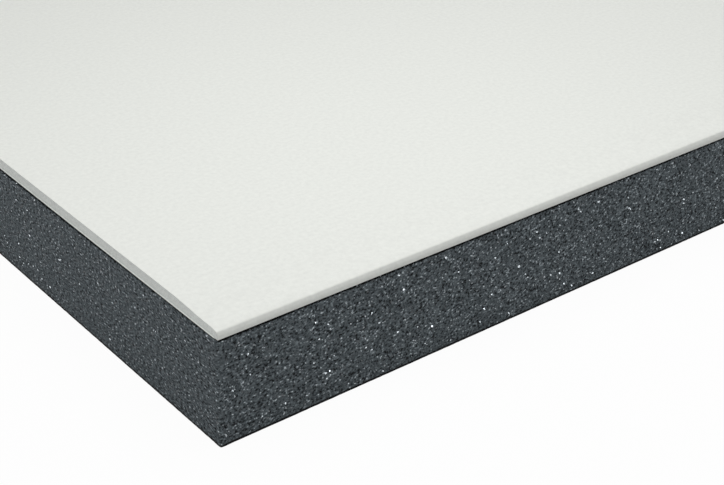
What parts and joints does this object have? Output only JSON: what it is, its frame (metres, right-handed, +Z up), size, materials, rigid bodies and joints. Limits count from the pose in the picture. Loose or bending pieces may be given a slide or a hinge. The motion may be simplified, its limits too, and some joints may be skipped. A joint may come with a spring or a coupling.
{
  "type": "insulated drywall sheet",
  "caption": "Plasterboard with tapered, paper-wrapped long edges and cut ends, glued on a thick graphite foam board, for lining and insulating a wall.",
  "frame": {"origin": "centre of the foam board's underside, on the floor that the sheet lies on", "axes": "+X along the wrapped long edges, +Y across the sheet, +Z up from the foam's back to the room face"},
  "size_m": [2.5, 1.2, 0.1333],
  "materials": {
    "foam_board": "matte",
    "glue_film": "matte",
    "back_paper": "matte",
    "face_paper": "matte",
    "gypsum_core": "matte"
  },
  "bodies": {
    "root": {"foam_board": "foam_board", "glue_film": "glue_film", "back_paper": "back_paper", "face_paper": "face_paper", "gypsum_core": "gypsum_core"}
  },
  "joints": []
}
